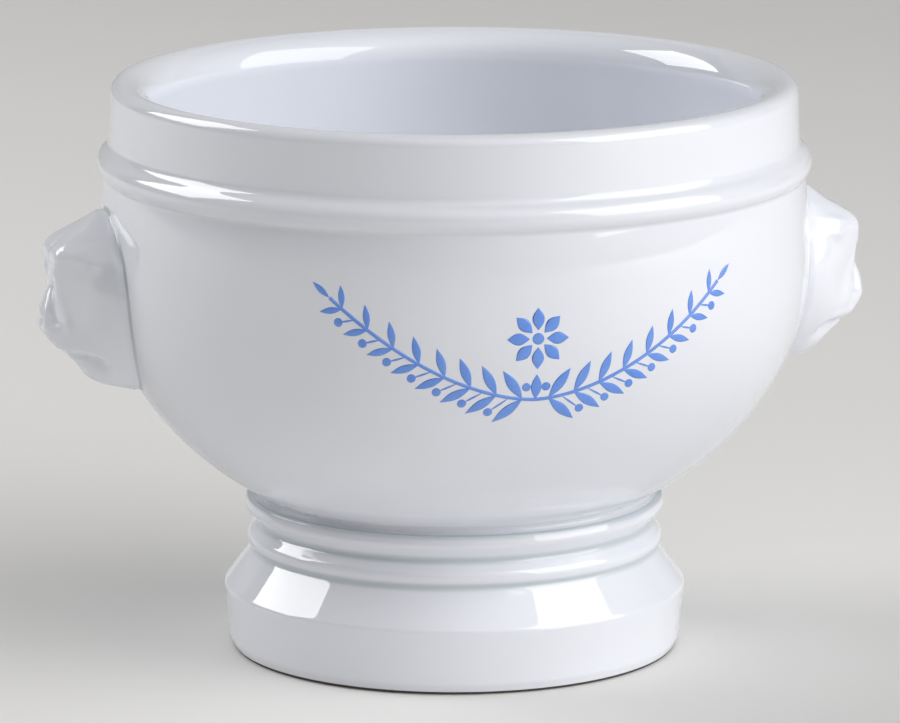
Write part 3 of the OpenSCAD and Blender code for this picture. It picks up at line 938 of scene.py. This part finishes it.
PETALS = 8
LEAF_LEAN = math.radians(48)
BRANCH_POWER = 1.7
LAST_LEAF = 0.6
STALK_LENGTH = 0.7
STALK_WIDTH = 0.6
PETAL_START = 0.27
PETAL_WIDTH = 0.4
FLOWER_EYE = 0.19
FLOWER_RISE = 0.3
STEM_STEPS = 48
STEM_FILMS = 1.8
POLE_WELD = 1e-4
BLADE_STEPS = 16
BLADE_ROUND = 8
STEM, BLADE, DISC = 0, 1, 2


class GarlandPlan:
    """Places of everything in the garland, in a flat drawing (round, up) from its middle."""

    def __init__(self, s):
        self.s = s
        self.rows = []
        self.edges = []

    def branch(self, t):
        """Place on the right branch, a share t of the way along it."""
        s = self.s
        return np.array([(s.half - s.leaf_l * LAST_LEAF) * t,
                         -s.low + s.rise * t ** BRANCH_POWER])

    def lean(self, t):
        """Direction of the right branch at t."""
        d = self.branch(t + 0.01) - self.branch(t)
        return math.atan2(d[1], d[0])

    def put(self, kind, at, lean=0.0, size=0.0, width=0.0, mirror=False):
        """Notes one thing to be printed, and its mirror image if wanted."""
        self.rows.append((kind, at[0], at[1], lean, size, width))
        if mirror:
            self.rows.append((kind, -at[0], at[1], math.pi - lean, size, width))

    def disc(self, at, r, mirror=False):
        """A dot with its middle at a place."""
        self.put(DISC, at, 0.0, 2 * r, 2 * r, mirror)

    def stems(self):
        """Both stems as rows of places that are joined by edges."""
        for side in (-1, 1):
            first = len(self.rows)
            for t in spread(0, 1, STEM_STEPS):
                u, v = self.branch(t)
                self.put(STEM, (side * u, v))
            self.edges += [(i, i + 1) for i in range(first, first + STEM_STEPS)]

    def leaves(self):
        """Leaves in pairs, an end leaf, and a stalked berry under each gap between pairs."""
        s = self.s
        for i in range(s.leaf_pairs):
            t = (i + 0.5) / s.leaf_pairs
            size = 1 - (1 - LAST_LEAF) * t
            for side in (-1, 1):
                self.put(BLADE, self.branch(t), self.lean(t) + side * LEAF_LEAN,
                         s.leaf_l * size, s.leaf_w * size, mirror=True)
        self.put(BLADE, self.branch(1), self.lean(1), s.leaf_l * LAST_LEAF,
                 s.leaf_w * LAST_LEAF, mirror=True)
        for i in range(1, s.leaf_pairs):
            t = i / s.leaf_pairs
            lean = self.lean(t) - LEAF_LEAN
            stalk = s.leaf_l * STALK_LENGTH * (1 - (1 - LAST_LEAF) * t)
            end = self.branch(t) + stalk * np.array([math.cos(lean), math.sin(lean)])
            self.put(BLADE, self.branch(t), lean, stalk, s.stem_w * STALK_WIDTH, mirror=True)
            self.disc(end, s.berry_r, mirror=True)

    def flower(self):
        """The flower over the middle, and the leaf and berries that rise under it."""
        s = self.s
        middle = np.array([0, s.flower_r * FLOWER_RISE])
        for i in range(PETALS):
            lean = math.pi / 2 + math.tau / PETALS * i
            start = middle + PETAL_START * s.flower_r * np.array([math.cos(lean), math.sin(lean)])
            self.put(BLADE, start, lean, s.flower_r * (1 - PETAL_START),
                     s.flower_r * PETAL_WIDTH)
        self.disc(middle, s.flower_r * FLOWER_EYE)
        self.put(BLADE, (0, -s.low), math.pi / 2, s.leaf_l * STALK_LENGTH, s.leaf_w)
        self.disc((s.leaf_w / 2 + s.berry_r, -s.low + 3 * s.berry_r), s.berry_r, mirror=True)

    def mesh(self):
        """The whole plan as loose places and stem edges, with what each place needs."""
        self.stems()
        self.leaves()
        self.flower()
        table = np.array(self.rows)
        mesh = bpy.data.meshes.new("plan")
        flat = np.column_stack([table[:, 1:3], np.zeros(len(table))])
        mesh.from_pydata([tuple(p) for p in flat], self.edges, [])
        for k, name in ((0, "kind"), (3, "lean"), (4, "size"), (5, "width")):
            column = mesh.attributes.new(name, "FLOAT", "POINT")
            column.data.foreach_set("value", table[:, k])
        return mesh


def blade(tree, roundness):
    """A thin closed plate of unit size along X: a pointed leaf at 0, a round dot at 1."""
    grid, column, row = grid_places(tree, BLADE_STEPS + 1, BLADE_ROUND + 1)
    turn = maths(tree, "MULTIPLY", row, math.tau / BLADE_ROUND)
    along = maths(tree, "MULTIPLY", column, 1.0 / BLADE_STEPS)
    angle = maths(tree, "MULTIPLY", along, math.pi)
    dot_x = maths(tree, "MULTIPLY", maths(tree, "COSINE", angle), -0.5)
    x = add(tree, "ShaderNodeMix", {0: roundness, 2: along, 3: dot_x}, data_type="FLOAT")
    half = maths(tree, "MULTIPLY", maths(tree, "COSINE", turn), 0.5)
    y = maths(tree, "MULTIPLY", half, maths(tree, "SINE", angle))
    tall = maths(tree, "MULTIPLY", maths(tree, "SINE", turn), 2.0)
    z = add(tree, "ShaderNodeClamp", {"Value": tall, "Min": -1.0, "Max": 1.0})
    plate = moved(tree, grid, add(tree, "ShaderNodeCombineXYZ", {0: x, 1: y, 2: z}))
    return add(tree, "GeometryNodeMergeByDistance", {"Geometry": plate, "Distance": POLE_WELD})


def garland_tree():
    """Puts leaves, petals and berries on their places, draws the stems along their edges, and
    wraps the flat drawing on the belly."""
    tree, given = new_tree("Garland on the belly", {
        "Plan": "Geometry", "Belly radius": "Float", "Belly drop": "Float",
        "Shoulder rise": "Float", "Middle below belly": "Float", "Belly height": "Float",
        "Stem width": "Float", "Film": "Float", "Material": "Material",
    })
    kind, lean, size, width = (
        named_field(tree, name).outputs[0] for name in ("kind", "lean", "size", "width")
    )
    is_stem, is_blade, is_disc = (
        add(tree, "FunctionNodeCompare", {0: kind, 1: float(number)}, data_type="FLOAT",
            operation="EQUAL") for number in (STEM, BLADE, DISC)
    )
    rotation = add(tree, "ShaderNodeCombineXYZ", {2: lean})
    scale = add(tree, "ShaderNodeCombineXYZ", {0: size, 1: width, 2: given["Film"]})
    printed = add(tree, "GeometryNodeJoinGeometry")
    for chosen, roundness in ((is_blade, 0.0), (is_disc, 1.0)):
        placed = add(tree, "GeometryNodeInstanceOnPoints", {
            "Points": given["Plan"], "Selection": chosen, "Instance": blade(tree, roundness),
            "Rotation": rotation, "Scale": scale,
        })
        tree.links.new(placed.outputs[0], printed.inputs[0])
    stems = add(tree, "GeometryNodeSeparateGeometry", {
        "Geometry": given["Plan"], "Selection": is_stem,
    })
    lines = add(tree, "GeometryNodeMeshToCurve", {"Mesh": stems})
    level = add(tree, "GeometryNodeSetCurveNormal", {"Curve": lines}, mode="Z_UP")
    section = add(tree, "GeometryNodeCurvePrimitiveQuadrilateral", {
        "Width": given["Stem width"], "Height": maths(tree, "MULTIPLY", given["Film"], STEM_FILMS),
    })
    drawn = add(tree, "GeometryNodeCurveToMesh", {
        "Curve": level, "Profile Curve": section, "Fill Caps": True,
    })
    tree.links.new(drawn.outputs[0], printed.inputs[0])
    real = add(tree, "GeometryNodeRealizeInstances", {"Geometry": printed})

    r = given["Belly radius"]
    across, up, off = add(tree, "ShaderNodeSeparateXYZ", {
        0: add(tree, "GeometryNodeInputPosition"),
    }).outputs
    x = maths(tree, "MULTIPLY", maths(tree, "SINE", maths(tree, "DIVIDE", across, r)), r)
    rise = maths(tree, "SUBTRACT", up, given["Middle below belly"])
    axis = add(tree, "ShaderNodeMix", {
        0: maths(tree, "GREATER_THAN", rise, 0.0), 2: given["Belly drop"],
        3: given["Shoulder rise"],
    }, data_type="FLOAT")
    share = maths(tree, "DIVIDE", rise, axis)
    rest = maths(tree, "SUBTRACT", 1.0, maths(tree, "MULTIPLY", share, share))
    outside = maths(tree, "MULTIPLY_ADD", maths(tree, "SQRT", rest), r, off)
    depth_2 = maths(tree, "SUBTRACT", maths(tree, "MULTIPLY", outside, outside),
                    maths(tree, "MULTIPLY", x, x))
    y = maths(tree, "MULTIPLY", maths(tree, "SQRT", depth_2), -1.0)
    z = maths(tree, "ADD", rise, given["Belly height"])
    wrapped = moved(tree, real, add(tree, "ShaderNodeCombineXYZ", {0: x, 1: y, 2: z}))
    return finish_tree(tree, wrapped, given["Material"])


# What each operator builds

def shared(name, build):
    """A material that several pieces share, built the first time it is needed."""
    return bpy.data.materials.get(name) or build(name)


def slip_outline(bowl, foot):
    """The slip between seat and foot, with the hollow rounding it leaves round the joint."""
    s = foot.s
    corner = (bowl.wall_r(FOOT_H), FOOT_H)
    up = (bowl.wall_r(FOOT_H + s.slip_rise) - SLIP_PROUD, FOOT_H + s.slip_rise)
    hollow = rounded([(foot.ledge_r, FOOT_H + SLIP_PROUD, 0), (*corner, s.slip_round), (*up, 0)])
    inner = foot.neck_r + SLIP_BACK
    return [(inner, FOOT_H - SLIP_PROUD), *hollow[1:-1],
            (up[0] - SLIP_BACK, up[1]), (inner, SEAT_Z + SLIP_PROUD), (inner, FOOT_H - SLIP_PROUD)]


SLIP_PROUD = 0.02 * MM
SLIP_BACK = 0.5 * MM
EDGE_OUT = -0.45 * MM


def biscuit_rim(piece, height):
    """Gives the lowest faces of a piece the bare material."""
    mesh = piece.data
    mesh.materials.append(shared("Bare biscuit", bare_biscuit))
    for polygon in mesh.polygons:
        if all(mesh.vertices[i].co.z < height + WELD for i in polygon.vertices):
            polygon.material_index = len(mesh.materials) - 1


# Stage

FLOOR_HALF = 2.6
FLOOR_FRONT = 2.6
FLOOR_BACK = 2.1
SWEEP_R = 0.6
SWEEP_TOP = 2.2
SWEEP_STEPS = 16


def camera_frame(s):
    """Directions to the camera's right and from the bowl to the camera, both level."""
    return (Vector((math.cos(s.turn), math.sin(s.turn), 0)),
            Vector((math.sin(s.turn), -math.cos(s.turn), 0)))


def floor_sweep(s):
    """A sheet of pale paper on the table, curved up behind the bowl."""
    right, near = camera_frame(s)
    side = [(FLOOR_FRONT, 0)] + [
        (-FLOOR_BACK - SWEEP_R * math.sin(t), SWEEP_R - SWEEP_R * math.cos(t))
        for t in spread(0, math.pi / 2, SWEEP_STEPS)
    ] + [(-FLOOR_BACK - SWEEP_R, SWEEP_TOP)]
    points, faces = [], []
    for out, up in side:
        for across in (-FLOOR_HALF, FLOOR_HALF):
            points.append(tuple(right * across + near * out + Vector((0, 0, up))))
    for i in range(len(side) - 1):
        faces.append((2 * i, 2 * i + 1, 2 * i + 3, 2 * i + 2))
    mesh = bpy.data.meshes.new("floor_sweep")
    mesh.from_pydata(points, [], faces)
    mesh.materials.append(shared("Pale background paper", table_paper))
    mesh.shade_smooth()
    placed_object("floor_sweep", mesh)


# Softboxes: turn and rise in degrees seen from the bowl, then width and height
SOFTBOXES = {"key": (68, 27, 1.2, 1.2), "fill": (-109, 34, 0.75, 0.77)}
LAMP_DISTANCE = 1.3


def softbox(name, s, turn, rise, width, height, power):
    """A rectangular lamp that faces the bowl."""
    right, near = camera_frame(s)
    turn, rise = math.radians(turn), math.radians(rise)
    away = (near * math.cos(turn) + right * math.sin(turn)) * math.cos(rise)
    away.z = math.sin(rise)
    lamp = bpy.data.lights.new(name, "AREA")
    lamp.shape = "RECTANGLE"
    lamp.size = width
    lamp.size_y = height
    lamp.energy = power
    holder = placed_object(name, lamp)
    holder.location = away * LAMP_DISTANCE + Vector((0, 0, RIM_Z / 2))
    holder.rotation_euler = away.to_track_quat("Z", "Y").to_euler()


# Bright sides of the room: direction as (camera's right, towards the camera, up), how narrow
# the brightness is round it, and its strength
ROOM_LIGHTS = (((0.8, 0.6, 0.3), 2, 0.40), ((0.3, 0.5, 0.8), 6, 0.98))


def lit_room(s):
    """A neutral room whose light comes softly from a few sides."""
    right, near = camera_frame(s)
    world = bpy.data.worlds.new("Lit room")
    world.use_nodes = True
    tree = world.node_tree
    tree.nodes.clear()
    view = add(tree, "ShaderNodeTexCoord").outputs["Generated"]
    total = 0.0
    for (across, out, up), narrow, strength in ROOM_LIGHTS:
        side = (right * across + near * out + Vector((0, 0, up))).normalized()
        facing = add(tree, "ShaderNodeVectorMath", {0: view, 1: side}, operation="DOT_PRODUCT")
        ahead = maths(tree, "MAXIMUM", facing.outputs["Value"], 0.0)
        glow = maths(tree, "POWER", ahead, narrow)
        total = maths(tree, "MULTIPLY_ADD", glow, strength * s.room, total)
    air = add(tree, "ShaderNodeBackground", {"Color": [1, 1, 1, 1], "Strength": total})
    add(tree, "ShaderNodeOutputWorld", {"Surface": air})
    bpy.context.scene.world = world


def photo_camera(s):
    """The camera at the photograph's viewing angle."""
    right, near = camera_frame(s)
    lens = bpy.data.cameras.new("camera")
    lens.lens = s.lens
    lens.sensor_width = 36
    lens.clip_start = 0.05
    lens.clip_end = 20
    camera = placed_object("camera", lens)
    ahead = -near * math.cos(s.pitch) - Vector((0, 0, math.sin(s.pitch)))
    up = right.cross(ahead)
    camera.matrix_world = Matrix.Translation(
        near * s.distance + right * s.side + Vector((0, 0, s.height))
    ) @ Matrix((right, up, -ahead)).transposed().to_4x4()
    bpy.context.scene.camera = camera


# Operators

class BuildStep:
    """What the operators share: each builds its piece from the settings."""

    def execute(self, context):
        self.build(settings())
        return {"FINISHED"}


class SOUPBOWL_OT_bowl(BuildStep, bpy.types.Operator):
    """Turns the bowl's body from its outline, with belly, bead, collar and rim"""

    bl_idname = "soup_bowl.bowl"
    bl_label = "Bowl"

    def build(self, s):
        turned_piece("bowl_body", BowlForm(s.bowl).outline(),
                     shared("Glazed porcelain", porcelain), "porcelain", "bowl")


class SOUPBOWL_OT_foot(BuildStep, bpy.types.Operator):
    """Turns the hollow foot with its rings, flare and band"""

    bl_idname = "soup_bowl.foot"
    bl_label = "Foot"

    def build(self, s):
        form = FootForm(s.foot, s.bowl.seat_r)
        piece = turned_piece("ringed_foot", form.outline(), shared("Glazed porcelain", porcelain),
                             "porcelain", "foot")
        biscuit_rim(piece, s.foot.bare_h)


class SOUPBOWL_OT_foot_slip(BuildStep, bpy.types.Operator):
    """Lutes the foot to the bowl with a wiped ring of slip"""

    bl_idname = "soup_bowl.foot_slip"
    bl_label = "Foot slip"

    def build(self, s):
        outline = slip_outline(BowlForm(s.bowl), FootForm(s.foot, s.bowl.seat_r))
        # The slip's painted shade is darkest at the joint and thins out above it
        glazed = slip_glaze("Glazed foot slip", FOOT_H - s.foot.slip_round,
                            FOOT_H + s.foot.slip_round)
        turned_piece("foot_slip", outline, glazed, "slip", "foot_slip_joint")


class SOUPBOWL_OT_heads(BuildStep, bpy.types.Operator):
    """Casts and models the two lion heads"""

    bl_idname = "soup_bowl.heads"
    bl_label = "Lion heads"

    def build(self, s):
        mesh = cast_head(BowlForm(s.bowl), s.head, shared("Glazed porcelain", porcelain))
        both_sides(mesh, "lion", "porcelain", "lion_head")


class SOUPBOWL_OT_head_slips(BuildStep, bpy.types.Operator):
    """Lutes both heads to the wall with slip wiped to a hollow rounding"""

    bl_idname = "soup_bowl.head_slips"
    bl_label = "Head slips"

    def build(self, s):
        mesh = head_slip(BowlForm(s.bowl), s.head, slip_glaze("Glazed head slip"))
        both_sides(mesh, "head_slip", "slip", "head_slip_joint")


class SOUPBOWL_OT_garland(BuildStep, bpy.types.Operator):
    """Prints the garland of leaves, berries and a flower on the belly's front"""

    bl_idname = "soup_bowl.garland"
    bl_label = "Garland"

    def build(self, s):
        form = BowlForm(s.bowl)
        mesh = run_tree(garland_tree(), GarlandPlan(s.garland).mesh(), {
            "Belly radius": form.belly_r, "Belly drop": form.belly_drop,
            "Shoulder rise": form.shoulder_rise, "Middle below belly": s.garland.drop,
            "Belly height": form.belly_z, "Stem width": s.garland.stem_w,
            "Film": s.garland.film, "Material": shared("Fired blue print", fired_blue),
        })
        keep("leaf_garland", mesh, "blue_print", "garland_print")


class SOUPBOWL_OT_stage(BuildStep, bpy.types.Operator):
    """Sets the table, the two softboxes, the room and the camera"""

    bl_idname = "soup_bowl.stage"
    bl_label = "Stage"

    def build(self, s):
        floor_sweep(s.stage)
        for name, place in SOFTBOXES.items():
            softbox(name + "_softbox", s.stage, *place, getattr(s.stage, name))
        lit_room(s.stage)
        photo_camera(s.stage)
        bpy.context.scene.view_settings.view_transform = "Standard"


class SOUPBOWL_PT_panel(bpy.types.Panel):
    """Buttons that build the bowl piece by piece"""

    bl_idname = "SOUPBOWL_PT_panel"
    bl_label = "Soup Bowl"
    bl_space_type = "VIEW_3D"
    bl_region_type = "UI"
    bl_category = "Soup Bowl"

    def draw(self, context):
        column = self.layout.column(align=True)
        for step in STEPS:
            column.operator(step.bl_idname)


STEPS = (
    SOUPBOWL_OT_bowl, SOUPBOWL_OT_foot, SOUPBOWL_OT_foot_slip, SOUPBOWL_OT_heads,
    SOUPBOWL_OT_head_slips, SOUPBOWL_OT_garland, SOUPBOWL_OT_stage,
)
CLASSES = (
    BowlSizes, FootSizes, HeadSizes, GarlandSizes, Colours, StageSizes, SoupBowl,
    *STEPS, SOUPBOWL_PT_panel,
)


def register():
    """Registers the classes and hangs the settings on the scene."""
    for kind in CLASSES:
        bpy.utils.register_class(kind)
    bpy.types.Scene.soup_bowl = PointerProperty(type=SoupBowl)


def unregister():
    """Takes the settings and the classes away again."""
    del bpy.types.Scene.soup_bowl
    for kind in reversed(CLASSES):
        bpy.utils.unregister_class(kind)


def main():
    """Registers the add-on and builds everything in order."""
    register()
    for step in STEPS:
        group, name = step.bl_idname.split(".")
        getattr(getattr(bpy.ops, group), name)()


if __name__ == "__main__":
    main()
